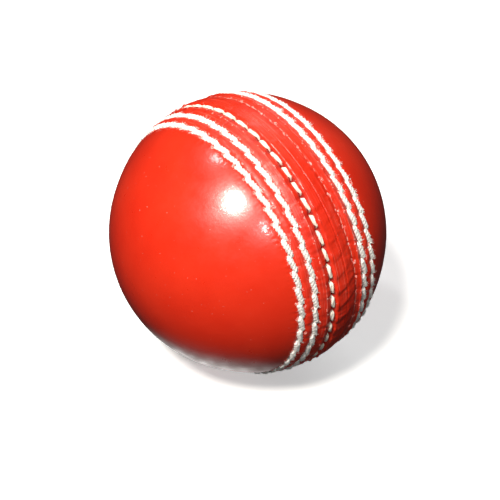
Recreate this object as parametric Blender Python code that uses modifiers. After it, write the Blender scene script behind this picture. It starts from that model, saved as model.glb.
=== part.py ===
"""Cricket ball: two leather cups sewn over a wound core of cork and yarn.

Metres, +Z up. The origin is the ball's centre. The seam lies in the XZ plane, so the
Y axis passes through the poles of the two cups: the front cup faces -Y, the back cup +Y.
Every turned piece is modelled about its own Z axis and hangs from an empty that lays
that axis along the ball's Y axis.
"""
import math

import bmesh
import bpy

# Driving dimensions
BALL_RADIUS = 0.0358            # plain leather of a cup, away from the seam
COVER_THICKNESS = 0.0035
LAND_HEIGHT = 0.0004            # swell of the stitched band over the plain leather
RIDGE_HEIGHT = 0.0008           # the raised seam between the two closing rows
JOIN_ROUNDING = 0.0003          # the lips roll over by this much where the cups meet
CLEARANCE = 0.0003              # gap between neighbouring pieces

# Sewing: where the rows lie, as arc lengths from the seam plane
INNER_ROW = 0.0034
MIDDLE_ROW = 0.0080
OUTER_ROW = 0.0118
LAND_EDGE = 0.0150              # the stitched band ends here and the plain ball begins
RIDGE_SHOULDER = 0.0016
STITCHES = 50                   # in each row
CLOSING_THREAD_RADIUS = 0.00045
MACHINE_THREAD_RADIUS = 0.00050
STITCH_RISE = 0.00010           # a stitch stands this much over its row's mean height
STITCH_SLANT = 0.00008          # and leans this much to each side
CHANNEL_FLARE = 0.00015         # a channel's mouth is wider than its floor by this, each side

# Core
NUCLEUS_RADIUS = 0.0120
CORK_THICKNESS = 0.0016
YARN_THICKNESS = 0.0018
LAYERS = 5
YARN_OPENING_LATITUDE = math.radians(-85)

# Facets: the core's pieces share one grid, so neighbouring layers nest face to face
COVER_STEPS = 40
COVER_ARC_STEP = math.radians(10)
PLAIN_LEATHER_LATITUDE = math.radians(30)
CORE_STEPS = 16
CORE_RINGS = 8
MERGE_DISTANCE = 0.00001
THREAD_BEVEL_RESOLUTION = 1

# Linear colours, roughness
LEATHER_RED = ((0.62, 0.020, 0.012, 1.0), 0.22)
MACHINE_WHITE = ((0.86, 0.85, 0.81, 1.0), 0.75)
CLOSING_IVORY = ((0.82, 0.76, 0.62, 1.0), 0.75)
SUNK_THREAD = ((0.55, 0.16, 0.12, 1.0), 0.60)
YARN_WOOL = ((0.68, 0.58, 0.42, 1.0), 0.90)
CORK_TAN = ((0.48, 0.29, 0.15, 1.0), 0.85)
NUCLEUS_BROWN = ((0.16, 0.09, 0.055, 1.0), 0.80)

COVER_INNER_RADIUS = BALL_RADIUS - COVER_THICKNESS
LAND_RADIUS = BALL_RADIUS + LAND_HEIGHT
RIDGE_RADIUS = BALL_RADIUS + RIDGE_HEIGHT
LAYER_STEP = 2 * CLEARANCE + CORK_THICKNESS + YARN_THICKNESS


def clear_scene():
    for item in list(bpy.data.objects):
        bpy.data.objects.remove(item, do_unlink=True)


def make_material(name, colour, roughness):
    material = bpy.data.materials.new(name)
    material.use_nodes = True
    shader = material.node_tree.nodes["Principled BSDF"]
    shader.inputs["Base Color"].default_value = colour
    shader.inputs["Roughness"].default_value = roughness
    shader.inputs["Metallic"].default_value = 0.0
    return material


def add_object(name, data, material, parent, turn=0.0):
    """Link a piece to the ball, turned about its parent's Z axis."""
    piece = bpy.data.objects.new(name, data)
    piece.data.materials.append(material)
    piece.parent = parent
    piece.rotation_euler = (0.0, 0.0, turn)
    ball.objects.link(piece)
    return piece


def add_axis(name, tilt):
    """An empty whose Z axis lies along the ball's Y axis."""
    axis = bpy.data.objects.new(name, None)
    axis.rotation_euler = (tilt, 0.0, 0.0)
    ball.objects.link(axis)
    return axis


def polar(radius, latitude):
    """A profile point: distance from the turning axis, height over the seam plane."""
    return (radius * math.cos(latitude), radius * math.sin(latitude))


def arc(radius, first, last, step):
    """Profile points on an arc, both ends included."""
    count = max(1, math.ceil(abs(last - first) / step - 1e-6))
    return [polar(radius, first + (last - first) * i / count) for i in range(count + 1)]


def turned_mesh(name, profile):
    """A mesh holding only the profile, at +X, to be turned by a Screw modifier."""
    mesh = bpy.data.meshes.new(name)
    points = [(x, 0.0, z) for x, z in profile]
    mesh.from_pydata(points, [(i, i + 1) for i in range(len(points) - 1)], [])
    return mesh


def add_turned(name, profile, steps, material, parent):
    piece = add_object(name, turned_mesh(name, profile), material, parent)
    screw = piece.modifiers.new("turn", "SCREW")
    screw.axis = "Z"
    screw.angle = math.tau
    screw.steps = steps
    screw.render_steps = steps
    screw.use_merge_vertices = True
    screw.merge_threshold = MERGE_DISTANCE
    screw.use_smooth_shade = True
    return piece


def row_centre_radius(thread_radius):
    """The thread's middle line: its crown stands level with the ridge."""
    return RIDGE_RADIUS - thread_radius - STITCH_RISE


def channel(distance, thread_radius, outer_edge_radius, inner_edge_radius):
    """Four profile points of the channel that a row of thread lies in."""
    reach = thread_radius + STITCH_SLANT + CLEARANCE
    floor = row_centre_radius(thread_radius) - thread_radius - STITCH_RISE - CLEARANCE
    mouth = reach + CHANNEL_FLARE
    return [
        polar(outer_edge_radius, (distance + mouth) / BALL_RADIUS),
        polar(floor, (distance + reach) / BALL_RADIUS),
        polar(floor, (distance - reach) / BALL_RADIUS),
        polar(inner_edge_radius, (distance - mouth) / BALL_RADIUS),
    ]


def cup_profile():
    """From the outer pole down to the lip at the seam and back up the inside."""
    pole = math.pi / 2
    lip_height = CLEARANCE / 2
    lip_top = RIDGE_RADIUS - JOIN_ROUNDING
    outside = arc(BALL_RADIUS, pole, PLAIN_LEATHER_LATITUDE, COVER_ARC_STEP)
    outside.append(polar(BALL_RADIUS, LAND_EDGE / BALL_RADIUS))
    outside += channel(OUTER_ROW, MACHINE_THREAD_RADIUS, LAND_RADIUS, LAND_RADIUS)
    outside += channel(MIDDLE_ROW, MACHINE_THREAD_RADIUS, LAND_RADIUS, LAND_RADIUS)
    outside += channel(INNER_ROW, CLOSING_THREAD_RADIUS, LAND_RADIUS, RIDGE_RADIUS - CHANNEL_FLARE)
    outside.append(polar(RIDGE_RADIUS, RIDGE_SHOULDER / BALL_RADIUS))
    outside.append(polar(lip_top, math.asin(lip_height / lip_top)))
    lip_latitude = math.asin(lip_height / COVER_INNER_RADIUS)
    return outside + arc(COVER_INNER_RADIUS, lip_latitude, pole, COVER_ARC_STEP)


def yarn_profile(inner_radius):
    """From the outer pole round to the small opening at the other pole, and back inside."""
    pole = math.pi / 2
    ring_step = math.pi / CORE_RINGS
    last_ring = ring_step - pole
    facet_middle = (last_ring - pole) / 2
    flat = math.cos(ring_step / 2) / math.cos(YARN_OPENING_LATITUDE - facet_middle)
    outer_radius = inner_radius + YARN_THICKNESS
    outside = arc(outer_radius, pole, last_ring, ring_step)
    opening = [polar(radius * flat, YARN_OPENING_LATITUDE) for radius in (outer_radius, inner_radius)]
    return outside + opening + arc(inner_radius, last_ring, pole, ring_step)


def add_thread_row(name, distance, thread_radius, material, parent):
    """One closed line of sewing thread that rises and leans once in every stitch."""
    curve = bpy.data.curves.new(name, "CURVE")
    curve.dimensions = "3D"
    curve.bevel_depth = thread_radius
    curve.bevel_resolution = THREAD_BEVEL_RESOLUTION
    spline = curve.splines.new("POLY")
    count = 2 * STITCHES
    spline.points.add(count - 1)
    for i in range(count):
        side = 1 if i % 2 == 0 else -1
        radius = row_centre_radius(thread_radius) + side * STITCH_RISE
        latitude = (distance + side * STITCH_SLANT) / BALL_RADIUS
        out, height = polar(radius, latitude)
        turn = math.tau * i / count
        spline.points[i].co = (out * math.cos(turn), out * math.sin(turn), height, 1.0)
    spline.use_cyclic_u = True
    spline.use_smooth = True
    return add_object(name, curve, material, parent)


def half_shell_mesh(name, outer_radius, inner_radius):
    """Half of a hollow ball on the +X side, its rim set back by half the clearance."""
    grid = {"u_segments": CORE_STEPS, "v_segments": CORE_RINGS}
    bm = bmesh.new()
    bmesh.ops.create_uvsphere(bm, radius=inner_radius, **grid)
    bmesh.ops.reverse_faces(bm, faces=bm.faces)
    bmesh.ops.create_uvsphere(bm, radius=outer_radius, **grid)
    behind = [v for v in bm.verts if v.co.x < -MERGE_DISTANCE]
    bmesh.ops.delete(bm, geom=behind, context="VERTS")
    rim = [e for e in bm.edges if e.is_boundary]
    for vertex in {v for e in rim for v in e.verts}:
        vertex.co.x = CLEARANCE / 2
    bmesh.ops.bridge_loops(bm, edges=rim)
    mesh = bpy.data.meshes.new(name)
    bm.to_mesh(mesh)
    bm.free()
    mesh.shade_smooth()
    mesh.set_sharp_from_angle(angle=math.radians(40))
    return mesh


def add_nucleus(material, parent):
    bm = bmesh.new()
    bmesh.ops.create_uvsphere(
        bm, u_segments=CORE_STEPS, v_segments=CORE_RINGS, radius=NUCLEUS_RADIUS)
    mesh = bpy.data.meshes.new("nucleus")
    bm.to_mesh(mesh)
    bm.free()
    mesh.shade_smooth()
    return add_object("nucleus", mesh, material, parent)


def build_cover():
    """Both leather cups and the three rows of sewing on each."""
    leather = make_material("leather", *LEATHER_RED)
    white = make_material("machine_thread", *MACHINE_WHITE)
    ivory = make_material("closing_thread", *CLOSING_IVORY)
    sunk = make_material("sunk_thread", *SUNK_THREAD)
    sides = (("front", math.pi / 2, ivory), ("back", -math.pi / 2, sunk))
    for side, tilt, closing in sides:
        axis = add_axis(side + "_axis", tilt)
        add_turned(side + "_cover_cup", cup_profile(), COVER_STEPS, leather, axis)
        rows = (
            ("closing", INNER_ROW, CLOSING_THREAD_RADIUS, closing),
            ("middle", MIDDLE_ROW, MACHINE_THREAD_RADIUS, white),
            ("outer", OUTER_ROW, MACHINE_THREAD_RADIUS, white),
        )
        for row, distance, thread_radius, material in rows:
            name = side + "_" + row + "_stitch_row"
            add_thread_row(name, distance, thread_radius, material, axis)


def build_core():
    """The nucleus, then cork and yarn in turn, each cork layer split a quarter turn on."""
    axis = add_axis("core_axis", -math.pi / 2)
    cork = make_material("cork", *CORK_TAN)
    yarn = make_material("yarn", *YARN_WOOL)
    add_nucleus(make_material("nucleus", *NUCLEUS_BROWN), axis)
    for layer in range(LAYERS):
        cork_inner = NUCLEUS_RADIUS + CLEARANCE + layer * LAYER_STEP
        cork_outer = cork_inner + CORK_THICKNESS
        split = (layer % 2) * math.pi / 2
        number = str(layer + 1)
        for letter, turn in (("a", split), ("b", split + math.pi)):
            name = "cork_layer_" + number + letter
            add_object(name, half_shell_mesh(name, cork_outer, cork_inner), cork, axis, turn)
        profile = yarn_profile(cork_outer + CLEARANCE)
        add_turned("yarn_winding_" + number, profile, CORE_STEPS, yarn, axis)


clear_scene()
ball = bpy.data.collections.new("cricket_ball")
bpy.context.scene.collection.children.link(ball)
build_cover()
build_core()
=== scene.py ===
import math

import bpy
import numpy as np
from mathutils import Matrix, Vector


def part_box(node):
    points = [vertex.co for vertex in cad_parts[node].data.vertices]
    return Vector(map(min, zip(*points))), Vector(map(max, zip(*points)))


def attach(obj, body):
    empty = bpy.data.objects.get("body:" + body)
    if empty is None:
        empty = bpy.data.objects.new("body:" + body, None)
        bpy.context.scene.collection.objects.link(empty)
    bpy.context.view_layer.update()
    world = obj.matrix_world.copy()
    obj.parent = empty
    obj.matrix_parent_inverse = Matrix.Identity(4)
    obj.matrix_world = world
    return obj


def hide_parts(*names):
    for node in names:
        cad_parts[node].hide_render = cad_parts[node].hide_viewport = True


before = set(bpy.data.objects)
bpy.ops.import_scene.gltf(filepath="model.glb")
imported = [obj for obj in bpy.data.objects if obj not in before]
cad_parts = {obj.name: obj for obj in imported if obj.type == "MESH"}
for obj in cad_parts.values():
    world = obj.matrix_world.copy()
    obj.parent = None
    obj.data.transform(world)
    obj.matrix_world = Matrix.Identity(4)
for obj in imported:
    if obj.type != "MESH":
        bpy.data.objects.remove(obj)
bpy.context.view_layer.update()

# Cricket ball: the looks of the leather cups, the sewing and the wound core.
# The seam lies in the XZ plane. Places on the cover are given by a turn round the seam,
# 0 at +X and rising towards +Z, and by s, the arc from the seam plane in millimetres,
# negative on the front cup (-Y) and positive on the back cup (+Y).

MM = 0.001

# --- sizes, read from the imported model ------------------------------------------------
cup_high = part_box("back_cover_cup")[1]
BALL_R = cup_high.y / MM                     # plain leather
RIDGE_R = cup_high.x / MM                    # crest of the seam


def row_arc(node):
    """Arc from the seam plane, in mm, at which a CAD row of stitches lies."""
    low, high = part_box(node)
    return BALL_R * math.asin((low.y + high.y) / 2 / MM / BALL_R)


ROW_S = {
    row: row_arc(row + "_stitch_row")
    for row in ("front_outer", "front_middle", "front_closing",
                "back_closing", "back_middle", "back_outer")
}
ROW_NUMBER = {row: number for number, row in enumerate(sorted(ROW_S))}
CLOSING_S = ROW_S["back_closing"]
MIDDLE_S = ROW_S["back_middle"]
OUTER_S = ROW_S["back_outer"]

# --- the cover -------------------------------------------------------------------------
STITCHES = 50
PITCH = math.tau / STITCHES                  # turn from one needle hole to the next
PITCH_MM = PITCH * BALL_R
HOLE_TURN = math.radians(6.1)                # a needle hole of the front closing row
RIDGE_H = RIDGE_R - BALL_R
CUP_WALL = 3.4
LIP_GAP = 0.04                               # arc from the seam plane to a cup's lip
LAND_H = 0.42                                # the stitched band swells over the plain ball
LAND_EDGE = 12.6                             # it is full up to here
SWELL_EDGE = 25.0                            # and has died away here
BAND_EDGE = 15.2                             # end of the sewn band's fine relief
RIDGE_TOP = 2.35                             # the ridge of the two lips is full up to here
RIDGE_FOOT = 3.05
RIDGE_FALL = 0.6                             # share of its height lost on the back cup,
RIDGE_FALL_END = 2.5                         # from the join up to here
RIDGE_UNEVENNESS = 0.015
CREST_S = 5.35                               # sharp crest of a cup's shoulder
CREST_WANDER = 0.10                          # how far it wanders across the seam
CREST_FOLD_H = 0.10                          # a fine fold runs along it
CREST_FOLD_WIDTH = 0.14
SHOULDER_H = 0.38
SHOULDER_FOOT = 4.0
SHOULDER_END = 7.4
QUILT_LOW = 0.62                             # share of it that is left at the needle holes
QUILT_ROUNDING = 0.7                         # less than 1 makes the quilting puffed
PAD_H = 0.37                                 # pads between a cup's two machine-sewn rows
PAD_WIDTH = 1.15
PAD_PINCH = {"front_middle": 0.18, "back_outer": 0.34}   # how far a row's holes pinch them
LIP_ROLL_H = 0.10                            # the two lips roll over where they meet
LIP_ROLL_WIDTH = 0.14
BAND_UNEVENNESS = 0.022                      # hand-pressed relief of the whole sewn band
BAND_UNEVEN_EDGE = 13.0
# How far each row's needle holes are shifted along the seam, in stitches
ROW_SHIFT = {
    "front_outer": 0.30, "front_middle": 0.62, "front_closing": 0.0,
    "back_closing": 0.45, "back_middle": 0.15, "back_outer": 0.55,
}
ROW_STRAY = 0.55                             # how far the front closing row strays
JOIN_STRAY = 1.35                            # and the join with the back closing row
STRAY_TURN = math.radians(-15.0)             # and where both stray most
# Arcs at which each stray begins, is full, ends being full and has died away
ROW_STRAY_REACH = (-6.8, -3.8, -2.6, 1.5)
JOIN_STRAY_REACH = (-3.0, 0.5, 4.2, 7.4)
SEAM_DRIFT = 0.8                             # the whole seam drifts to the back cup
DRIFT_TURN = math.radians(120.0)             # over the top of the ball
DRIFT_REACH = (13.0, 28.0)

# Each row's channel in the leather, in mm: its depth and how much the stitches pull it
# deeper, its half width, its needle holes and the rim squeezed up beside them
MACHINE_CHANNEL = {
    "depth": 0.40, "pull": 0.24, "width": 0.74, "hole": 0.30, "hole_side": -0.25, "rim": 0.0,
}
CHANNELS = {row: MACHINE_CHANNEL for row in ROW_S}
CHANNELS["front_closing"] = {
    "depth": 0.60, "pull": 0.30, "width": 0.66, "hole": 0.95, "hole_side": -0.12, "rim": 0.50,
}
CHANNELS["back_closing"] = {
    "depth": 0.09, "pull": 0.06, "width": 0.26, "hole": 0.22, "hole_side": 0.0, "rim": 0.10,
}
CHANNEL_STEEPNESS = 2.6
HOLE_LENGTH = 0.38
HOLE_WIDTH = 0.52
RIM_PLACE = 0.30                             # of a stitch, from the needle hole
RIM_LENGTH = 1.1
RIM_OFFSET = 0.22                            # outside the channel
RIM_WIDTH = 0.14
CREASE_SLANT = 0.42                          # of a stitch, from the closing row to the join
CREASE_REACH = (2.35, 2.85)                  # full up to the first arc, gone at the second
CREASE_H = {"front": 0.28, "back": 0.18}
CREASE_LEAST = 0.25                          # share left far from where the join strays most
CREASE_MEAN = 0.4                            # taken off, so that creases go up and down
JITTER_ALONG = 0.12                          # spread of the needle holes, along the row
JITTER_ACROSS = 0.05                         # and across it


def bell(x, width):
    return np.exp(-(x / width) ** 2)


def ramp(x, low, high):
    t = np.clip((x - low) / (high - low), 0.0, 1.0)
    return t * t * (3.0 - 2.0 * t)


WAVES = 14


def smooth_noise(turn, s, seed, wave_turn, wave_s):
    """A sum of waves that closes round the ball, about -1 to 1.

    wave_turn is about how many waves go round the ball, wave_s their radians per mm of s.
    """
    rng = np.random.default_rng(seed)
    total = np.zeros(np.broadcast(turn, s).shape)
    for _ in range(WAVES):
        cycles = round(wave_turn * rng.uniform(0.5, 1.6))
        across = wave_s * rng.uniform(-1.4, 1.4)
        phase = rng.uniform(0.0, math.tau)
        total = total + np.sin(cycles * turn + across * s + phase)
    return total / math.sqrt(WAVES)


def stitch_place(turn, row):
    """Where a point lies along a row: whole numbers are its needle holes."""
    return (turn - HOLE_TURN) / PITCH - ROW_SHIFT[row]


def hole_jitter(row, index):
    """Each hole's own small offsets along and across the row, in mm."""
    rng = np.random.default_rng(100 + ROW_NUMBER[row])
    along = rng.normal(0.0, JITTER_ALONG, STITCHES)
    across = rng.normal(0.0, JITTER_ACROSS, STITCHES)
    k = np.mod(np.asarray(index).astype(int), STITCHES)
    return along[k], across[k]


def true_arc(turn, s):
    """The arc at which s really lies: the join and the rows beside it stray to the back cup."""
    stray = JOIN_STRAY * (0.5 + 0.5 * np.cos(turn - STRAY_TURN)) ** 3
    begin, full, last, end = JOIN_STRAY_REACH
    stray = stray * ramp(s, begin, full) * ramp(-s, -end, -last)
    begin, full, last, end = ROW_STRAY_REACH
    stray = stray + ROW_STRAY * ramp(s, begin, full) * ramp(-s, -end, -last)
    drift = SEAM_DRIFT * (0.5 + 0.5 * np.cos(turn - DRIFT_TURN)) ** 4
    full, end = DRIFT_REACH
    return s + stray + drift * ramp(-np.abs(s), -end, -full)


def peak(x, foot, top, far_foot):
    """A straight-sided peak: 0 at both feet and 1 at the top."""
    return np.clip(np.minimum((x - foot) / (top - foot), (far_foot - x) / (far_foot - top)), 0, 1)


def plain_height(s):
    """The cover's smooth profile: a swollen band and, on it, the ridge of the two lips."""
    a = np.abs(s)
    fall = RIDGE_FALL * ramp(s, 0.0, RIDGE_FALL_END)
    ridge = ramp(-a, -RIDGE_FOOT, -RIDGE_TOP) * (1.0 - fall)
    return LAND_H * ramp(-a, -SWELL_EDGE, -LAND_EDGE) + (RIDGE_H - LAND_H) * ridge


def leather_height(turn, s):
    """Height of the leather over the plain ball, in mm."""
    a = np.abs(s)
    h = plain_height(s)
    # a shoulder with a sharp crest between the middle and the closing row
    wander = smooth_noise(turn, s, seed=5, wave_turn=40, wave_s=0.0)
    crest = CREST_S + CREST_WANDER * wander
    closing_place = np.where(s < 0, stitch_place(turn, "front_closing"),
                             stitch_place(turn, "back_closing"))
    puff = np.abs(np.sin(math.pi * closing_place)) ** QUILT_ROUNDING
    quilt = QUILT_LOW + (1.0 - QUILT_LOW) * puff
    h = h + SHOULDER_H * quilt * peak(a, SHOULDER_FOOT, crest, SHOULDER_END)
    h = h + CREST_FOLD_H * bell(a - crest, CREST_FOLD_WIDTH)
    # puffed pads between the two machine-sewn rows of each cup
    between = 0.5 * (OUTER_S + MIDDLE_S)
    for row, pinch in PAD_PINCH.items():
        side = math.copysign(1.0, ROW_S[row])
        puff = np.abs(np.sin(math.pi * stitch_place(turn, row))) ** QUILT_ROUNDING - 1.0
        h = h + (PAD_H + pinch * puff) * bell(side * s - between, PAD_WIDTH)
    # the channels that the thread is pulled into, deepest at the needle holes
    for row, row_s in ROW_S.items():
        channel = CHANNELS[row]
        place = stitch_place(turn, row)
        pull = 0.5 + 0.5 * np.cos(math.tau * place)
        d = s - row_s
        depth = channel["depth"] + channel["pull"] * pull
        h = h - depth * np.exp(-np.abs(d / channel["width"]) ** CHANNEL_STEEPNESS)
        nearest = np.round(place)
        shift_along, shift_across = hole_jitter(row, nearest)
        along = (place - nearest) * PITCH_MM - shift_along
        hole = bell(along, HOLE_LENGTH) * bell(d - shift_across - channel["hole_side"], HOLE_WIDTH)
        h = h - channel["hole"] * hole
        # the thread squeezes the leather up into a rim beside the lower half of a stitch
        lower_half = bell(along - RIM_PLACE * PITCH_MM, RIM_LENGTH)
        rim = bell(d - channel["width"] - RIM_OFFSET, RIM_WIDTH)
        h = h + channel["rim"] * lower_half * rim
    # creases that run from each closing hole slantwise up to the join: the leather climbs
    # to a crease and drops sharply behind it
    across = (s + CLOSING_S) / CLOSING_S
    crease = stitch_place(turn, "front_closing") - CREASE_SLANT * across
    f = crease - np.floor(crease)
    climb = np.maximum((1.0 - f) ** 1.5, ramp(f, 0.55, 1.0) ** 1.5)
    full, end = CREASE_REACH
    on_ridge = ramp(-a, -end, -full)
    nearness = (0.5 + 0.5 * np.cos(turn - STRAY_TURN)) ** 6
    strength = CREASE_LEAST + (1.0 - CREASE_LEAST) * nearness
    amplitude = np.where(s < 0, CREASE_H["front"], CREASE_H["back"])
    h = h + on_ridge * strength * amplitude * (climb - CREASE_MEAN)
    h = h - LIP_ROLL_H * bell(s, LIP_ROLL_WIDTH)
    uneven = smooth_noise(turn, s, seed=11, wave_turn=60, wave_s=2.2)
    h = h + RIDGE_UNEVENNESS * on_ridge * uneven
    in_band = ramp(-a, -BAND_EDGE, -BAND_UNEVEN_EDGE)
    uneven = smooth_noise(turn, s, seed=23, wave_turn=130, wave_s=1.6)
    return h + BAND_UNEVENNESS * in_band * uneven


def ball_point(turn, s, height):
    """A point in metres, at a height in mm over the plain ball."""
    radius = (BALL_R + height) * MM
    latitude = true_arc(turn, s) / BALL_R
    out = radius * np.cos(latitude)
    return np.stack([out * np.cos(turn), radius * np.sin(latitude), out * np.sin(turn)], -1)


def add_piece(name, vertices, faces, slot, material, *replaced):
    """A smooth-shaded mesh of the ball's one body, in place of the CAD nodes it replaces."""
    mesh = bpy.data.meshes.new(name)
    mesh.from_pydata(vertices.tolist(), [], faces)
    mesh.update()
    mesh.shade_smooth()
    mesh.materials.append(material)
    piece = bpy.data.objects.new(name, mesh)
    bpy.context.scene.collection.objects.link(piece)
    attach(piece, "root")
    if replaced:
        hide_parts(*replaced)
    return piece


def grid_faces(rings, columns, flip):
    """Quads of a grid that closes in its second direction."""
    i = np.arange(rings - 1)[:, None] * columns
    j = np.arange(columns)[None, :]
    k = (j + 1) % columns
    quads = np.stack([i + j, i + k, i + columns + k, i + columns + j], -1).reshape(-1, 4)
    return (quads[:, ::-1] if flip else quads).tolist()


COLUMNS_PER_STITCH = 18
POLE_S = BALL_R * math.pi / 2
LIP_RINGS = np.arange(0.10, 0.60, 0.10)
BAND_RINGS = np.arange(0.60, 13.4, 0.21)
EDGE_RINGS = np.arange(13.4, BAND_EDGE, 0.40)
PLAIN_RINGS = 20                             # from the band's edge to the last ring
LAST_RING_GAP = 0.6                          # from there to the pole
INSIDE_RINGS = np.concatenate([[LIP_GAP], np.linspace(3.0, 53.0, 7)])


def ring_arcs():
    """Arcs of the cover's rings, from the lip to the last ring before the pole."""
    plain = BAND_EDGE + (POLE_S - LAST_RING_GAP - BAND_EDGE) * np.linspace(0.0, 1.0, PLAIN_RINGS)
    return np.concatenate([[LIP_GAP], LIP_RINGS, BAND_RINGS, EDGE_RINGS, plain])


def make_cup(name, side, material, node):
    """A leather cup: a fine outside, a lip at the seam and a plain inside.

    side is -1 for the front cup and 1 for the back cup.
    """
    columns = STITCHES * COLUMNS_PER_STITCH
    turn = (np.arange(columns) * math.tau / columns)[None, :]
    arcs = ring_arcs()[::-1]
    s = side * arcs[:, None]
    outside = ball_point(turn, s, leather_height(turn, s))
    inner_arcs = INSIDE_RINGS[:, None]
    inside = ball_point(turn, side * inner_arcs, np.full_like(turn, -CUP_WALL))
    rings = np.concatenate([outside, inside])
    count = len(rings)
    outer_pole = ball_point(np.zeros(1), np.full(1, side * POLE_S), np.zeros(1))
    inner_pole = outer_pole * ((BALL_R - CUP_WALL) / BALL_R)
    vertices = np.concatenate([rings.reshape(-1, 3), outer_pole, inner_pole])
    faces = grid_faces(count, columns, side > 0)
    first = (count - 1) * columns
    for j in range(columns):
        k = (j + 1) % columns
        for face in ((count * columns, k, j), (count * columns + 1, first + j, first + k)):
            faces.append(face[::-1] if side > 0 else face)
    cup = add_piece(name, vertices, faces, "leather", material, node)
    store_seam_map(cup, rings, turn, s, side, inner_arcs)


def store(mesh, name, values, rest=0.0):
    """A point attribute; vertices beyond the given values get the rest value."""
    data = np.full(len(mesh.vertices), rest, np.float32)
    data[:len(values)] = values
    mesh.attributes.new(name, "FLOAT", "POINT").data.foreach_set("value", data)


# painted shade: leather sunk below its smooth profile is coloured darker, fully at this depth
FULLY_SUNK = 0.7                             # depth, in mm, at which the leather is darkest


def store_seam_map(cup, rings, turn, s, side, inner_arcs):
    """Point attributes for the material: place along the seam in stitches, arc and sinking."""
    place = np.broadcast_to(turn / PITCH, rings.shape[:2]).reshape(-1)
    arcs = np.concatenate([s, side * inner_arcs])
    arc = np.broadcast_to(arcs, rings.shape[:2]).reshape(-1)
    sunk = np.clip((plain_height(s) - leather_height(turn, s)) / FULLY_SUNK, 0.0, 1.0)
    sunk = np.concatenate([sunk, np.zeros((len(inner_arcs), sunk.shape[1]))]).reshape(-1)
    store(cup.data, "place", place)
    store(cup.data, "arc", arc, side * POLE_S)
    store(cup.data, "sunk", sunk)


# --- thread ------------------------------------------------------------------------------
def unit(v):
    return v / np.linalg.norm(v, axis=-1, keepdims=True)


def tubes(centres, sideways, outward, radius, sides, uneven=None):
    """Closed tubes through centres[tube, sample]; returns vertices and faces."""
    tube_count, samples = centres.shape[:2]
    angle = np.arange(sides) * math.tau / sides
    ring = (np.cos(angle)[:, None] * outward[:, :, None, :]
            + np.sin(angle)[:, None] * sideways[:, :, None, :])
    if uneven is not None:
        ring = ring * uneven[..., None]
    vertices = centres[:, :, None, :] + radius[:, :, None, None] * ring
    per_tube = samples * sides
    i = np.arange(samples - 1)[:, None] * sides
    j = np.arange(sides)[None, :]
    k = (j + 1) % sides
    quads = np.stack([i + j, i + sides + j, i + sides + k, i + k], -1).reshape(-1, 4)
    start = np.arange(tube_count)[:, None, None] * per_tube
    faces = (quads[None] + start).reshape(-1, 4).tolist()
    for t in range(tube_count):
        base = t * per_tube
        faces.append(tuple(base + n for n in range(sides)))
        faces.append(tuple(base + per_tube - 1 - n for n in range(sides)))
    return vertices.reshape(-1, 3), faces


def stitch_paths(row, length, slant, crown, dive, samples, bow):
    """Centre lines of a row's stitches, from the upper (+turn) end to the lower end.

    A stitch leans across the row by slant to each side, stands crown over the plain ball,
    and over the length dive[0] at each end goes down by dive[1]. All are in mm.
    """
    index = np.arange(STITCHES)
    t = np.linspace(0.0, 1.0, samples)[None, :]
    here_along, here_across = hole_jitter(row, index)
    next_along, next_across = hole_jitter(row, index + 1)
    upper = (index + 1) * PITCH_MM + next_along
    lower = index * PITCH_MM + here_along
    middle = 0.5 * (upper + lower)
    reach = 0.5 * (upper - lower) * length / PITCH_MM
    along = middle[:, None] + reach[:, None] * (1.0 - 2.0 * t)
    across = (next_across[:, None] * (1 - t) + here_across[:, None] * t
              + slant * (2.0 * t - 1.0) - bow * np.sin(math.pi * t))
    edge = np.minimum(1.5 * t, 1.0 - t) * length        # the upper end is the blunter one
    sink = np.clip(1.0 - edge / dive[0], 0.0, 1.0)
    height = crown - dive[1] * sink ** 2.0
    turn = HOLE_TURN + ROW_SHIFT[row] * PITCH + along / BALL_R
    s = ROW_S[row] + across
    return ball_point(turn, s, height), edge


TAPER_LENGTH = 0.9
POINT_START = 0.35                           # a stitch narrows to its lower end from here
THICKNESS_SPREAD = 0.04                      # from stitch to stitch
GROOVE_SHARPNESS = 0.9
GROOVE_SPREAD = (0.35, 1.0)                  # the grooves' depth varies along the thread


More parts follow.
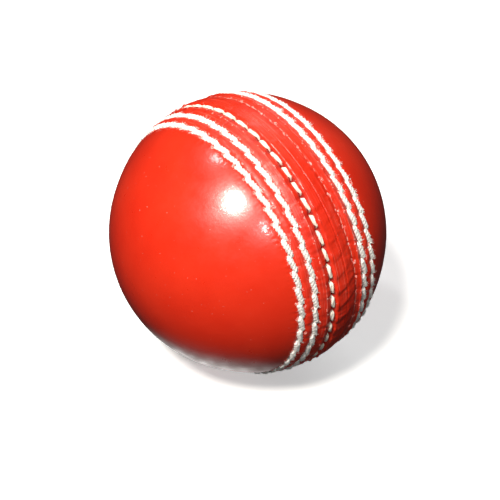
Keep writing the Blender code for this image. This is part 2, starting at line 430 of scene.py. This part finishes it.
def cord_stitches(row, seed, length, slant, crown, dive, ply_radius, taper,
                  plies=1, ply_offset=0.0, lay=1.0, samples=34, sides=9, point=0.0, bow=0.0,
                  rough=0.0, strands=0, strand_lay=1.0, groove=0.0):
    """Every stitch of a row as a twisted cord, each ply grooved between its strands.

    The plies turn once round each other in every lay, and the strands once round a ply in
    every strand_lay. taper thins both ends, point only the lower one; groove is a share of
    the radius. Returns the cord's vertices and faces, and how deep in a groove each is.
    """
    path, edge = stitch_paths(row, length, slant, crown, dive, samples, bow)
    outward = unit(path)
    along = unit(np.gradient(path, axis=1))
    sideways = unit(np.cross(along, outward))
    outward = unit(np.cross(sideways, along))
    rng = np.random.default_rng(seed)
    spin = rng.uniform(0.0, math.tau, STITCHES)[:, None]
    thick = 1.0 - taper * np.clip(1.0 - edge / TAPER_LENGTH, 0.0, 1.0) ** 1.5
    thick = thick * (1.0 - point * ramp(np.linspace(0.0, 1.0, samples), POINT_START, 1.0))
    thick = thick * rng.normal(1.0, THICKNESS_SPREAD, STITCHES)[:, None]
    travelled = np.linspace(0.0, length, samples)[None, :]
    centres = []
    for ply in range(plies):
        angle = spin + math.tau * (travelled / lay + ply / plies)
        shift = np.cos(angle)[..., None] * outward + np.sin(angle)[..., None] * sideways
        centres.append(path + ply_offset * MM * thick[..., None] * shift)
    radius = ply_radius * MM * thick * np.ones_like(travelled)
    surface = rng.normal(1.0, rough, (plies * STITCHES, samples, sides))
    round_ply = np.arange(sides)[None, None, :] / sides
    helix = travelled[..., None] / strand_lay - round_ply + spin[..., None]
    valley = 1.0 - np.abs(np.sin(math.pi * strands * helix)) ** GROOVE_SHARPNESS
    depth = rng.uniform(*GROOVE_SPREAD, (plies * STITCHES, samples, 1))
    valley = np.tile(valley, (plies, 1, 1)) * depth
    surface = surface * (1.0 - groove * valley)
    cord = tubes(np.concatenate(centres), np.tile(sideways, (plies, 1, 1)),
                 np.tile(outward, (plies, 1, 1)), np.tile(radius, (plies, 1)), sides, surface)
    return cord, valley


FIBRE_SAMPLES = 5
FIBRE_TAPER = 0.65
FIBRE_CURL = 0.5
FIBRE_LEAN = 0.7                             # spread of its lean along the seam


def fibres(row, seed, crown, reach, slant, count, length, thickness):
    """Loose fibres that stand out all round a row's stitches, rooted at reach from its middle."""
    rng = np.random.default_rng(seed)
    place = rng.uniform(0.0, STITCHES, count)
    turn = HOLE_TURN + PITCH * (ROW_SHIFT[row] + place)
    s = ROW_S[row] + slant * (1.0 - 2.0 * (place - np.floor(place)))
    centre = ball_point(turn, s, np.full(count, crown))
    outward = unit(centre)
    round_seam = np.stack([-np.sin(turn), np.zeros(count), np.cos(turn)], -1)
    sideways = np.cross(round_seam, outward)
    angle = rng.uniform(-0.2, math.pi + 0.2, count)[:, None]
    radial = np.cos(angle) * sideways + np.sin(angle) * outward
    root = centre + radial * rng.uniform(0.75, 1.0, (count, 1)) * reach * MM
    heading = unit(radial + round_seam * rng.normal(0.0, FIBRE_LEAN, (count, 1)))
    curl = unit(rng.normal(0.0, 1.0, (count, 3)))
    size = rng.uniform(*length, count)
    t = np.linspace(0.0, 1.0, FIBRE_SAMPLES)
    steps = t[None, :, None] * size[:, None, None] * MM
    bend = curl[:, None] * steps * t[None, :, None] * FIBRE_CURL
    path = root[:, None] + heading[:, None] * steps + bend
    along = unit(np.gradient(path, axis=1))
    across = unit(np.cross(along, round_seam[:, None] + 0.3 * outward[:, None]))
    radius = np.broadcast_to(thickness * (1.0 - FIBRE_TAPER * t) * MM, (count, FIBRE_SAMPLES))
    return tubes(path, across, unit(np.cross(across, along)), radius, 3)


def join_parts(parts):
    """One list of vertices and one of faces from several parts."""
    vertices = []
    faces = []
    offset = 0
    for part_vertices, part_faces in parts:
        vertices.append(part_vertices)
        faces += [tuple(offset + n for n in face) for face in part_faces]
        offset += len(part_vertices)
    return np.concatenate(vertices), faces


MACHINE_CROWN = 0.17
MACHINE_SLANT = {"front": 0.48, "back": 0.66}    # the back cup's stitches lean further over
CLOSING_CROWN = 0.06
CLOSING_SLANT = 0.26


def make_machine_row(row, material):
    """White thread of three strands, with fine fuzz and thicker tufts on it."""
    slant = MACHINE_SLANT[row.split("_")[0]]
    cord, valley = cord_stitches(
        row, 40 + ROW_NUMBER[row], length=PITCH_MM + 0.40, slant=slant, crown=MACHINE_CROWN,
        dive=(0.9, 0.55), ply_radius=0.78, taper=0.35, point=0.20, rough=0.09, samples=56,
        sides=16, strands=3, strand_lay=2.9, groove=0.46)
    fuzz = fibres(row, 60 + ROW_NUMBER[row], MACHINE_CROWN, reach=0.68, slant=slant,
                  count=600, length=(0.20, 0.75), thickness=0.034)
    tufts = fibres(row, 70 + ROW_NUMBER[row], MACHINE_CROWN, reach=0.66, slant=slant,
                   count=800, length=(0.20, 0.54), thickness=0.090)
    vertices, faces = join_parts([cord, fuzz, tufts])
    piece = add_piece(row + "_thread", vertices, faces, "machine_thread", material,
                      row + "_stitch_row")
    store(piece.data, "valley", valley.reshape(-1))


def make_front_closing_row(material):
    """Thick ivory stitches, with a dark gap at each needle hole."""
    row = "front_closing"
    cord = cord_stitches(
        row, 81, length=PITCH_MM - 0.95, slant=CLOSING_SLANT, crown=CLOSING_CROWN + 0.04,
        dive=(0.7, 1.1), ply_radius=0.36, taper=0.25, point=0.50, bow=0.16, rough=0.03,
        plies=3, ply_offset=0.27, lay=9.0)[0]
    fuzz = fibres(row, 82, CLOSING_CROWN, reach=0.55, slant=CLOSING_SLANT, count=110,
                  length=(0.15, 0.55), thickness=0.030)
    vertices, faces = join_parts([cord, fuzz])
    add_piece(row + "_thread", vertices, faces, "closing_thread", material, row + "_stitch_row")


def make_back_closing_row(material):
    """Thin thread pulled so deep that it shows only as specks."""
    row = "back_closing"
    vertices, faces = cord_stitches(
        row, 91, length=PITCH_MM - 0.5, slant=0.05, crown=0.12, dive=(1.0, 0.5),
        ply_radius=0.15, taper=0.4, plies=3, ply_offset=0.12, lay=6.0)[0]
    add_piece(row + "_thread", vertices, faces, "sunk_thread", material, row + "_stitch_row")


# --- beads of leather and wax ------------------------------------------------------------------
BEAD_SHIFT = 0.35                            # beads on the front side of a row lie ahead of
                                             # its holes, and those on the back side behind
BEAD_SPREAD = 0.22
CREST_SPREAD = 0.16


def beside_holes(rng, row, reach, chances):
    """Places (turn, s) beside a row's needle holes, at a reach in mm to each side of it."""
    places = []
    for k in range(STITCHES):
        shift_along, shift_across = hole_jitter(row, k)
        for side, chance in zip((-1.0, 1.0), chances):
            if rng.uniform() > chance:
                continue
            along = shift_along - side * BEAD_SHIFT + rng.normal(0.0, BEAD_SPREAD)
            turn = HOLE_TURN + PITCH * (ROW_SHIFT[row] + k) + along / BALL_R
            places.append((turn, ROW_S[row] + shift_across + side * rng.uniform(*reach)))
    return places


def along_crest(rng, side, count):
    """Places (turn, s) strung along the sharp crest of a cup's shoulder."""
    return [(rng.uniform(0.0, math.tau), side * (CREST_S + rng.normal(0.0, CREST_SPREAD)))
            for _ in range(count)]


BEAD_AROUND = 12
BEAD_SIDES = 7
BEAD_LENGTH = 1.25                           # along the seam, against its width
BEAD_WOBBLE = 0.38
BEAD_TILT = 0.25


def bead(rng, turn, s, width, thickness):
    """An uneven little ring that stands out of the leather; returns vertices and faces."""
    u = np.arange(BEAD_AROUND) * math.tau / BEAD_AROUND
    v = np.arange(BEAD_SIDES) * math.tau / BEAD_SIDES
    height = float(leather_height(np.array([[turn]]), np.array([[s]]))[0, 0])
    centre = ball_point(np.array(turn), np.array(s), np.array(height))
    round_seam = np.array([-math.sin(turn), 0.0, math.cos(turn)])
    outward = unit(centre)
    sideways = np.cross(round_seam, outward)
    outward = unit(outward + rng.normal(0.0, BEAD_TILT) * sideways)
    wobble = 1.0 + BEAD_WOBBLE * np.sin(2 * u + rng.uniform(0, math.tau))
    lift = 0.5 + 0.5 * np.sin(u + rng.uniform(0, math.tau))
    spine = np.cos(u)[:, None] * round_seam * BEAD_LENGTH + np.sin(u)[:, None] * sideways
    ring = (spine * (width * wobble)[:, None])[:, None, :]
    tube = (np.cos(v)[None, :, None] * unit(spine)[:, None, :]
            + np.sin(v)[None, :, None] * outward)
    thick = thickness * (0.35 + 0.75 * lift)
    points = centre + MM * (ring + tube * thick[:, None, None])
    i = np.arange(BEAD_AROUND)[:, None] * BEAD_SIDES
    j = np.arange(BEAD_SIDES)[None, :]
    i2 = (i + BEAD_SIDES) % (BEAD_AROUND * BEAD_SIDES)
    j2 = (j + 1) % BEAD_SIDES
    corners = (i + j, i2 + j, i2 + j2, i + j2)
    return points.reshape(-1, 3), np.stack(corners, -1).reshape(-1, 4).tolist()


BEADS_ON_CREST = 110


def make_beads(cup, side, material, seed):
    """What the needle pushed up beside the rows, and wax caught along the crest."""
    rng = np.random.default_rng(seed)
    parts = []
    # the outer row has two sets of beads and the middle row one
    for row in (cup + "_outer", cup + "_middle", cup + "_outer"):
        for turn, s in beside_holes(rng, row, (0.84, 1.18), (0.90, 0.55)):
            parts.append(bead(rng, turn, s, rng.uniform(0.14, 0.34), rng.uniform(0.09, 0.18)))
    if cup == "back":
        for _ in range(2):
            for turn, s in beside_holes(rng, "back_closing", (0.10, 0.42), (0.8, 0.8)):
                parts.append(bead(rng, turn, s, rng.uniform(0.12, 0.30), rng.uniform(0.08, 0.16)))
    for turn, s in along_crest(rng, side, BEADS_ON_CREST):
        parts.append(bead(rng, turn, s, rng.uniform(0.05, 0.16), rng.uniform(0.05, 0.11)))
    vertices, faces = join_parts(parts)
    add_piece(cup + "_needle_beads", vertices, faces, "leather", material)


# --- materials ---------------------------------------------------------------------------------
class Nodes:
    """Short helpers for one material's node tree. A value is a number or another's output."""

    def __init__(self, name):
        self.material = bpy.data.materials.new(name)
        self.material.use_nodes = True
        self.tree = self.material.node_tree
        self.shader = self.tree.nodes["Principled BSDF"]

    def add(self, kind, **settings):
        node = self.tree.nodes.new(kind)
        for key, value in settings.items():
            setattr(node, key, value)
        return node

    def link(self, source, target):
        self.tree.links.new(source, target)

    def feed(self, socket, value):
        if hasattr(value, "default_value") or hasattr(value, "links"):
            self.link(value, socket)
        else:
            socket.default_value = value

    def position(self):
        return self.add("ShaderNodeTexCoord").outputs["Object"]

    def attribute(self, name):
        return self.add("ShaderNodeAttribute", attribute_name=name).outputs["Fac"]

    def math(self, operation, first, second=0.0):
        node = self.add("ShaderNodeMath", operation=operation)
        for socket, value in zip(node.inputs, (first, second)):
            self.feed(socket, value)
        return node.outputs["Value"]

    def noise(self, vector, scale, detail=4.0, roughness=0.55):
        node = self.add("ShaderNodeTexNoise")
        self.link(vector, node.inputs["Vector"])
        node.inputs["Scale"].default_value = scale
        node.inputs["Detail"].default_value = detail
        node.inputs["Roughness"].default_value = roughness
        return node.outputs["Fac"]

    def range(self, value, low, high, to_low, to_high):
        node = self.add("ShaderNodeMapRange", clamp=True)
        self.link(value, node.inputs["Value"])
        for key, number in (("From Min", low), ("From Max", high),
                            ("To Min", to_low), ("To Max", to_high)):
            node.inputs[key].default_value = number
        return node.outputs["Result"]

    def mix(self, amount, first, second):
        node = self.add("ShaderNodeMix", data_type="RGBA")
        self.feed(node.inputs["Factor"], amount)
        self.feed(node.inputs[6], first)
        self.feed(node.inputs[7], second)
        return node.outputs[2]

    def combine(self, x, y, z):
        node = self.add("ShaderNodeCombineXYZ")
        for socket, value in zip(node.inputs, (x, y, z)):
            self.feed(socket, value)
        return node.outputs["Vector"]

    def bump(self, height, strength, distance, normal=None):
        node = self.add("ShaderNodeBump")
        self.link(height, node.inputs["Height"])
        node.inputs["Strength"].default_value = strength
        node.inputs["Distance"].default_value = distance
        if normal is not None:
            self.link(normal, node.inputs["Normal"])
        return node.outputs["Normal"]

    def set(self, **values):
        names = {"color": "Base Color", "roughness": "Roughness", "coat": "Coat Weight",
                 "coat_roughness": "Coat Roughness", "sheen": "Sheen Weight", "normal": "Normal",
                 "coat_normal": "Coat Normal", "specular": "Specular IOR Level"}
        for key, value in values.items():
            self.feed(self.shader.inputs[names[key]], value)
        return self.material


def pinch_mask(n, place, arc, row, side):
    """1 beside a row's needle holes on the shoulder of one cup, 0 half a stitch away."""
    first_hole = HOLE_TURN / PITCH + ROW_SHIFT[row]
    along = n.math("FRACT", n.math("SUBTRACT", place, first_hole + 0.5))
    near = n.range(n.math("ABSOLUTE", n.math("SUBTRACT", along, 0.5)), 0.05, 0.24, 1.0, 0.0)
    over = n.math("MULTIPLY", arc, side)
    across = n.math("MULTIPLY", n.range(over, 3.6, 4.2, 0.0, 1.0), n.range(over, 5.2, 6.8, 1.0, 0.0))
    return n.math("MULTIPLY", near, across)


def streaks(n, place, arc, along, across, layer, detail, roughness):
    """Noise drawn out along the seam: its frequency per stitch and per mm across it."""
    where = n.combine(n.math("MULTIPLY", place, along), n.math("MULTIPLY", arc, across), layer)
    return n.noise(where, 1.0, detail, roughness)


DEEP_RED = (0.63, 0.021, 0.006, 1)
BRIGHT_RED = (0.69, 0.029, 0.009, 1)
HOLE_PAINTED_SHADE = (0.19, 0.006, 0.004, 1)
SPECK_PINK = (0.86, 0.50, 0.44, 1)
RUBBED_RED = (0.92, 0.24, 0.18, 1)
PINCH_PAINTED_SHADE = (0.30, 0.006, 0.003, 1)
CREST_PAINTED_HIGHLIGHT = (0.95, 0.36, 0.29, 1)
BEAD_RED = (0.82, 0.11, 0.08, 1)
BEAD_PAINTED_GLINT = (0.97, 0.52, 0.46, 1)
LACQUER_IOR = 1.5


def leather_material():
    """Lacquered leather. Near the seam its looks follow the attributes that the cups carry; shade is
    painted dark into its channels, needle holes and pinches, and a highlight is painted pale along
    its crests.
    """
    n = Nodes("lacquered_leather")
    where = n.position()
    sunk = n.attribute("sunk")
    arc = n.attribute("arc")
    off_join = n.math("ABSOLUTE", arc)
    place = n.attribute("place")
    in_band = n.range(off_join, 12.5, 13.6, 1.0, 0.0)
    in_hole = n.range(sunk, 0.35, 1.2, 0.0, 0.9)
    red = n.mix(n.range(n.noise(where, 60.0, 3.0), 0.35, 0.68, 0.0, 1.0), DEEP_RED, BRIGHT_RED)
    # painted shade: the leather is coloured darker where it is sunk into channels and needle holes
    red = n.mix(in_hole, red, HOLE_PAINTED_SHADE)
    # specks of dust and bare leather
    speck = n.noise(where, 1500.0, 2.0, 0.5)
    red = n.mix(n.range(speck, 0.745, 0.775, 0.0, 0.55), red, SPECK_PINK)
    # lines pressed and rubbed along the seam
    lines = streaks(n, place, arc, 0.26, 3.4, 0.0, 4.0, 0.7)
    line_height = n.math("MULTIPLY", n.range(lines, 0.45, 0.75, 0.0, 1.0), in_band)
    rubbed = n.math("MULTIPLY", streaks(n, place, arc, 0.30, 4.6, 3.0, 3.0, 0.6), in_band)
    red = n.mix(n.range(rubbed, 0.58, 0.68, 0.0, 0.48), red, RUBBED_RED)
    # painted shade: the front shoulder is coloured dark beside every needle hole of its closing row,
    # where it is pinched, and is matt there
    pinched = pinch_mask(n, place, arc, "front_closing", -1.0)
    red = n.mix(n.math("MULTIPLY", pinched, 0.50), red, PINCH_PAINTED_SHADE)
    # painted highlight: the crest of each shoulder is coloured pale, here and there
    off_crest = n.math("ABSOLUTE", n.math("SUBTRACT", off_join, CREST_S))
    patches = streaks(n, place, arc, 0.9, 1.0, 7.0, 3.0, 0.6)
    crest_highlight = n.math("MULTIPLY", n.range(off_crest, 0.03, 0.16, 0.34, 0.0),
                     n.range(patches, 0.44, 0.60, 0.10, 1.0))
    red = n.mix(crest_highlight, red, CREST_PAINTED_HIGHLIGHT)
    # grain under the lacquer
    normal = n.bump(n.noise(where, 420.0, 3.0, 0.5), 0.05, 0.0006)
    normal = n.bump(n.noise(where, 900.0, 5.0, 0.65), 0.11, 0.00025, normal)
    normal = n.bump(line_height, 0.17, 0.00045, normal)
    # the sewn band is less glossy than the plain leather, and its holes are matt
    rough = n.range(n.noise(where, 260.0, 4.0, 0.6), 0.3, 0.7, 0.27, 0.36)
    rough = n.math("ADD", rough, n.math("MULTIPLY", in_band, 0.04))
    handled = n.range(off_join, 6.0, 7.8, 0.0, 0.10)
    rough = n.math("ADD", rough, n.math("MULTIPLY", in_band, handled))
    rough = n.math("ADD", rough, n.math("MULTIPLY", pinched, 0.10))
    rough = n.math("ADD", rough, n.math("MULTIPLY", in_hole, 0.45))
    coat = n.math("SUBTRACT", 0.5, n.math("MULTIPLY", in_band, 0.35))
    coat = n.math("MULTIPLY", coat, n.math("SUBTRACT", 1.0, in_hole))
    dimpled = n.bump(n.noise(where, 1300.0, 3.0, 0.5), 0.20, 0.00020)
    n.shader.inputs["Coat IOR"].default_value = LACQUER_IOR
    return n.set(color=red, roughness=rough, coat=coat, coat_roughness=0.11, specular=0.55,
                 normal=normal, coat_normal=dimpled)


def bead_material():
    n = Nodes("raised_leather_lip")
    where = n.position()
    tone = n.noise(where, 1200.0, 3.0)
    # painted glints: pale pink patches on the beads stand in for the shine of the wax
    red = n.mix(n.range(tone, 0.35, 0.65, 0.0, 1.0), BEAD_RED, BEAD_PAINTED_GLINT)
    normal = n.bump(n.noise(where, 3000.0, 3.0), 0.3, 0.0001)
    return n.set(color=red, roughness=0.28, coat=0.6, coat_roughness=0.1, normal=normal)


GROOVE_PAINTED_SHADE = (0.34, 0.22, 0.16, 1)


def thread_material(name, light, shade, stain, stain_limit):
    """Waxed thread: fine fibres, slight yellowing, red dye rubbed on from the leather, and shade
    painted brown in the grooves between its strands.
    """
    n = Nodes(name)
    where = n.position()
    tone = n.noise(where, 700.0, 4.0)
    color = n.mix(n.range(tone, 0.3, 0.7, 0.0, 1.0), light, shade)
    dye = n.noise(where, 330.0, 5.0, 0.7)
    color = n.mix(n.range(dye, stain_limit, stain_limit + 0.10, 0.0, 0.7), color, stain)
    # painted shade: the thread is coloured brown down in its grooves
    shadowed = n.range(n.attribute("valley"), 0.25, 0.85, 0.0, 0.75)
    color = n.mix(shadowed, color, GROOVE_PAINTED_SHADE)
    strands = n.add("ShaderNodeTexWave", wave_type="BANDS", bands_direction="DIAGONAL")
    n.link(where, strands.inputs["Vector"])
    strands.inputs["Scale"].default_value = 2400.0
    strands.inputs["Distortion"].default_value = 6.0
    normal = n.bump(strands.outputs["Fac"], 0.25, 0.00008)
    normal = n.bump(n.noise(where, 5200.0, 2.0), 0.35, 0.00006, normal)
    return n.set(color=color, roughness=0.72, sheen=0.25, normal=normal)


def core_material(name, dark, light, scale, roughness):
    """Granules of cork in two tones."""
    n = Nodes(name)
    where = n.position()
    cells = n.add("ShaderNodeTexVoronoi")
    n.link(where, cells.inputs["Vector"])
    cells.inputs["Scale"].default_value = scale
    grain = n.noise(where, scale * 1.7, 5.0, 0.65)
    color = n.mix(n.range(grain, 0.3, 0.7, 0.0, 1.0), dark, light)
    normal = n.bump(cells.outputs["Distance"], 0.6, 0.0004)
    return n.set(color=color, roughness=roughness, normal=normal)


def wound_yarn_material():
    n = Nodes("wound_worsted_yarn")
    where = n.position()
    color = n.mix(n.range(n.noise(where, 500.0), 0.3, 0.7, 0.0, 1.0),
                  (0.52, 0.42, 0.28, 1), (0.76, 0.67, 0.50, 1))
    turns = n.add("ShaderNodeTexWave", wave_type="RINGS", rings_direction="SPHERICAL")
    n.link(where, turns.inputs["Vector"])
    turns.inputs["Scale"].default_value = 260.0
    turns.inputs["Distortion"].default_value = 12.0
    normal = n.bump(turns.outputs["Fac"], 0.8, 0.0005)
    return n.set(color=color, roughness=0.9, sheen=0.2, normal=normal)


def paint_core():
    cork = core_material("cork_sheet", dark=(0.30, 0.17, 0.08, 1), light=(0.58, 0.38, 0.21, 1),
                         scale=420.0, roughness=0.85)
    nucleus = core_material("cork_and_rubber", dark=(0.07, 0.045, 0.03, 1),
                            light=(0.30, 0.18, 0.10, 1), scale=300.0, roughness=0.8)
    yarn = wound_yarn_material()
    for name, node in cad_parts.items():
        if name.startswith("cork_layer"):
            material = cork
        elif name.startswith("yarn_winding"):
            material = yarn
        elif name == "nucleus":
            material = nucleus
        else:
            continue
        for slot in node.material_slots:
            slot.material = material


# --- camera, floor and light ----------------------------------------------------------------------
VIEW_AZIMUTH = math.radians(49.8)            # from -Y towards +X
VIEW_ELEVATION = math.radians(39.2)
CAMERA_DISTANCE = 11.6 * BALL_R * MM
LENS = 115.6                                 # mm, on Blender's default sensor
AIM_RIGHT = 0.0006                           # the camera's aim, from the ball's centre
AIM_UP = -0.0045

to_camera = Vector((
    math.sin(VIEW_AZIMUTH) * math.cos(VIEW_ELEVATION),
    -math.cos(VIEW_AZIMUTH) * math.cos(VIEW_ELEVATION),
    math.sin(VIEW_ELEVATION)))
camera_right = Vector((math.cos(VIEW_AZIMUTH), math.sin(VIEW_AZIMUTH), 0.0))
camera_up = to_camera.cross(camera_right)


def from_camera_axes(right, up, towards):
    """A vector given by its parts to the right of the camera, up, and towards the camera."""
    return camera_right * right + camera_up * up + to_camera * towards


def add_camera():
    data = bpy.data.cameras.new("camera")
    data.lens = LENS
    data.clip_start = 0.01
    data.clip_end = 20.0
    camera = bpy.data.objects.new("camera", data)
    bpy.context.scene.collection.objects.link(camera)
    camera.location = to_camera * CAMERA_DISTANCE
    aim = from_camera_axes(AIM_RIGHT, AIM_UP, 0.0)
    camera.rotation_euler = (aim - camera.location).to_track_quat("-Z", "Y").to_euler()
    bpy.context.scene.camera = camera


def add_light(name, direction, distance, size, power, color=(1.0, 1.0, 1.0), gloss=True):
    """A round soft light that looks at the ball from a direction given by the camera's axes."""
    data = bpy.data.lights.new(name, "AREA")
    data.shape = "DISK"
    data.size = size
    data.energy = power
    data.color = color
    light = bpy.data.objects.new(name, data)
    light.visible_glossy = gloss
    bpy.context.scene.collection.objects.link(light)
    light.location = from_camera_axes(*direction).normalized() * distance
    light.rotation_euler = (-light.location).to_track_quat("-Z", "Y").to_euler()


WORLD_LIGHT = 0.022                          # what the world adds to the ball's light
WORLD_SEEN = 1.0                             # and how bright the camera sees it


def add_studio():
    """The key, two small lights that give the small highlights, and two behind the ball."""
    add_light("key", (-0.24, 0.355, 0.90), distance=1.0, size=0.26, power=16.7,
              color=(1.0, 0.96, 0.89))
    add_light("upper_spot", (-0.38, 0.82, 0.42), distance=1.0, size=0.13, power=1.6)
    add_light("camera_spot", (0.17, 0.02, 0.99), distance=1.2, size=0.095, power=3.1)
    add_light("back_fill", (0.35, 0.85, -0.40), distance=1.2, size=0.80, power=5.8, gloss=False)
    add_light("back_spot", (0.10, 1.0, -0.15), distance=1.1, size=0.14, power=0.9)
    world = bpy.data.worlds.new("studio")
    bpy.context.scene.world = world
    world.use_nodes = True
    tree = world.node_tree
    background = tree.nodes["Background"]
    background.inputs["Color"].default_value = (1.0, 1.0, 1.0, 1.0)
    paths = tree.nodes.new("ShaderNodeLightPath")
    pick = tree.nodes.new("ShaderNodeMix")
    pick.data_type = "FLOAT"
    tree.links.new(paths.outputs["Is Camera Ray"], pick.inputs[0])
    pick.inputs[2].default_value = WORLD_LIGHT
    pick.inputs[3].default_value = WORLD_SEEN
    tree.links.new(pick.outputs[0], background.inputs["Strength"])


FLOOR_SIZE = 6.0


def add_floor():
    """A pale floor that glows more with distance, so that it meets the world without a line; its glow
    also lightens the ball's shadow on it.
    """
    bpy.ops.mesh.primitive_plane_add(size=FLOOR_SIZE, location=(0.0, 0.0, -RIDGE_R * MM))
    floor = bpy.context.object
    floor.name = "floor"
    n = Nodes("pale_floor")
    tone = n.noise(n.position(), 3.0, 2.0)
    color = n.mix(n.range(tone, 0.3, 0.7, 0.0, 1.0), (0.90, 0.90, 0.90, 1), (0.94, 0.94, 0.94, 1))
    n.shader.inputs["Emission Color"].default_value = (1.0, 1.0, 1.0, 1.0)
    away = n.add("ShaderNodeVectorMath", operation="LENGTH")
    n.link(n.position(), away.inputs[0])
    n.link(n.range(away.outputs["Value"], 0.20, 1.2, 0.35, 1.1), n.shader.inputs["Emission Strength"])
    floor.data.materials.append(n.set(color=color, roughness=0.6))
    floor.visible_diffuse = False
    floor.visible_glossy = False


SHEEN_LIFT = 0.3                             # over the floor, in mm
SHEEN_RADIUS = 0.046
SHEEN_CENTRE = (0.005, -0.020, 0.0)          # where the sheen is brightest


def add_floor_sheen():
    """A small mottled glowing disc under the ball, no lamp, that only its gloss picks up: a painted
    reflection on the lower rim.
    """
    height = (SHEEN_LIFT - RIDGE_R) * MM
    bpy.ops.mesh.primitive_circle_add(vertices=48, radius=SHEEN_RADIUS, fill_type="NGON",
                                      location=(0.0, 0.0, height))
    sheen = bpy.context.object
    sheen.name = "floor_sheen"
    n = Nodes("floor_sheen")
    where = n.position()
    reach = n.add("ShaderNodeVectorMath", operation="LENGTH")
    n.link(where, reach.inputs[0])
    reach = reach.outputs["Value"]
    ring = n.math("MULTIPLY", n.range(reach, 0.010, 0.020, 0.0, 1.0),
                  n.range(reach, 0.024, 0.036, 1.0, 0.15))
    away = n.add("ShaderNodeVectorMath", operation="DISTANCE")
    n.link(where, away.inputs[0])
    away.inputs[1].default_value = SHEEN_CENTRE
    bright = n.math("MULTIPLY", ring, n.range(away.outputs["Value"], 0.008, 0.026, 1.60, 0.05))
    mottle = n.range(n.noise(where, 220.0, 3.0, 0.6), 0.40, 0.65, 0.45, 1.0)
    n.set(color=(0.0, 0.0, 0.0, 1.0), roughness=1.0)
    n.shader.inputs["Emission Color"].default_value = (1.0, 0.97, 0.95, 1.0)
    n.link(n.math("MULTIPLY", bright, mottle), n.shader.inputs["Emission Strength"])
    sheen.data.materials.append(n.material)
    sheen.visible_camera = False
    sheen.visible_diffuse = False
    sheen.visible_shadow = False


def build():
    leather = leather_material()
    raised = bead_material()
    white = thread_material("machine_thread", light=(0.90, 0.89, 0.86, 1),
                            shade=(0.80, 0.78, 0.72, 1), stain=(0.62, 0.22, 0.17, 1),
                            stain_limit=0.66)
    ivory = thread_material("closing_thread", light=(0.88, 0.84, 0.74, 1),
                            shade=(0.78, 0.70, 0.54, 1), stain=(0.62, 0.24, 0.16, 1),
                            stain_limit=0.68)
    sunk = thread_material("sunk_thread", light=(0.86, 0.42, 0.34, 1),
                           shade=(0.60, 0.13, 0.09, 1), stain=(0.40, 0.03, 0.02, 1),
                           stain_limit=0.50)
    make_cup("front_leather_cup", -1, leather, "front_cover_cup")
    make_cup("back_leather_cup", 1, leather, "back_cover_cup")
    for row in ("front_outer", "front_middle", "back_middle", "back_outer"):
        make_machine_row(row, white)
    make_front_closing_row(ivory)
    make_back_closing_row(sunk)
    make_beads("front", -1, raised, 7)
    make_beads("back", 1, raised, 8)
    paint_core()


bpy.context.scene.view_settings.view_transform = "Standard"
build()
add_camera()
add_studio()
add_floor()
add_floor_sheen()
